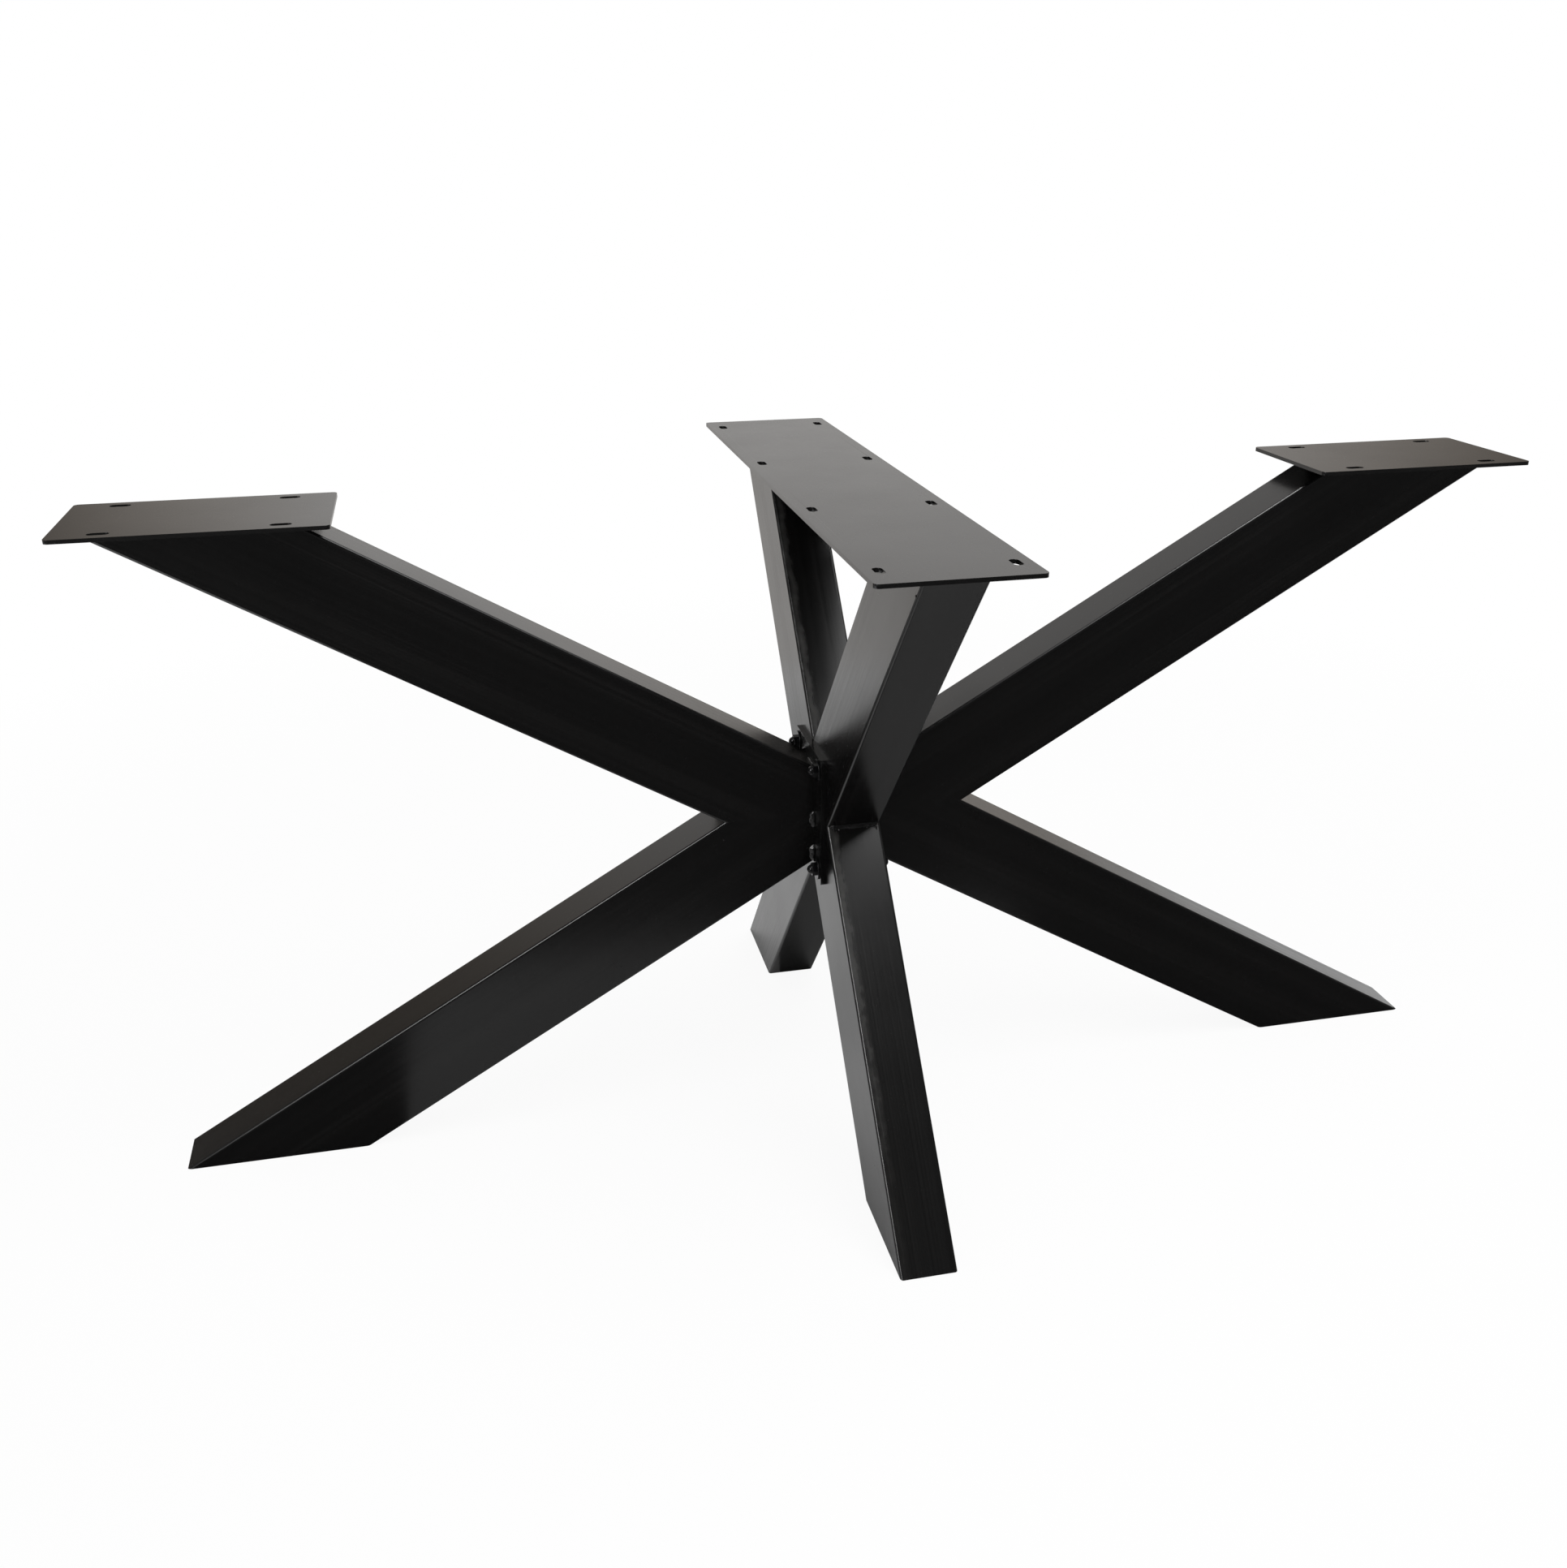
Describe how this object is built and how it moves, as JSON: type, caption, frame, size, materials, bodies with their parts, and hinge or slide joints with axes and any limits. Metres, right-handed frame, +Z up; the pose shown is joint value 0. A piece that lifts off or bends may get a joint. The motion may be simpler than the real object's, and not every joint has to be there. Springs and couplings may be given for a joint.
{
  "type": "table base",
  "caption": "Black steel table base: crossed rectangular tube legs joined at the middle, with slotted plates on top that a table top is screwed to.",
  "frame": {"origin": "on the floor, in the middle of the four feet", "axes": "+X along the long direction, to the right in the picture; +Y away from the front; +Z up"},
  "size_m": [1.52, 0.78, 0.72],
  "materials": {
    "tube_coating": "satin black powder coat",
    "plate_coating": "satin black powder coat",
    "weld_coating": "weld beads under satin black powder coat",
    "fastener_coating": "glossy black plated steel",
    "rod_steel": "plain zinc-plated threaded rod"
  },
  "bodies": {
    "root": {"centre_long_tube": "tube_coating", "centre_upper_half_tube": "tube_coating", "centre_lower_half_tube": "tube_coating", "left_upper_tube": "tube_coating", "left_lower_tube": "tube_coating", "right_upper_tube": "tube_coating", "right_lower_tube": "tube_coating", "front_foot_plate": "tube_coating", "back_foot_plate": "tube_coating", "left_foot_plate": "tube_coating", "right_foot_plate": "tube_coating", "centre_top_plate": "plate_coating", "left_top_plate": "plate_coating", "right_top_plate": "plate_coating", "left_flange_plate": "plate_coating", "right_flange_plate": "plate_coating", "centre_joint_welds": "weld_coating", "centre_plate_welds": "weld_coating", "left_flange_welds": "weld_coating", "right_flange_welds": "weld_coating", "left_plate_welds": "weld_coating", "right_plate_welds": "weld_coating", "left_washers": "fastener_coating", "right_washers": "fastener_coating", "left_cap_nuts": "fastener_coating", "right_cap_nuts": "fastener_coating", "tie_rods": "rod_steel"}
  },
  "joints": []
}
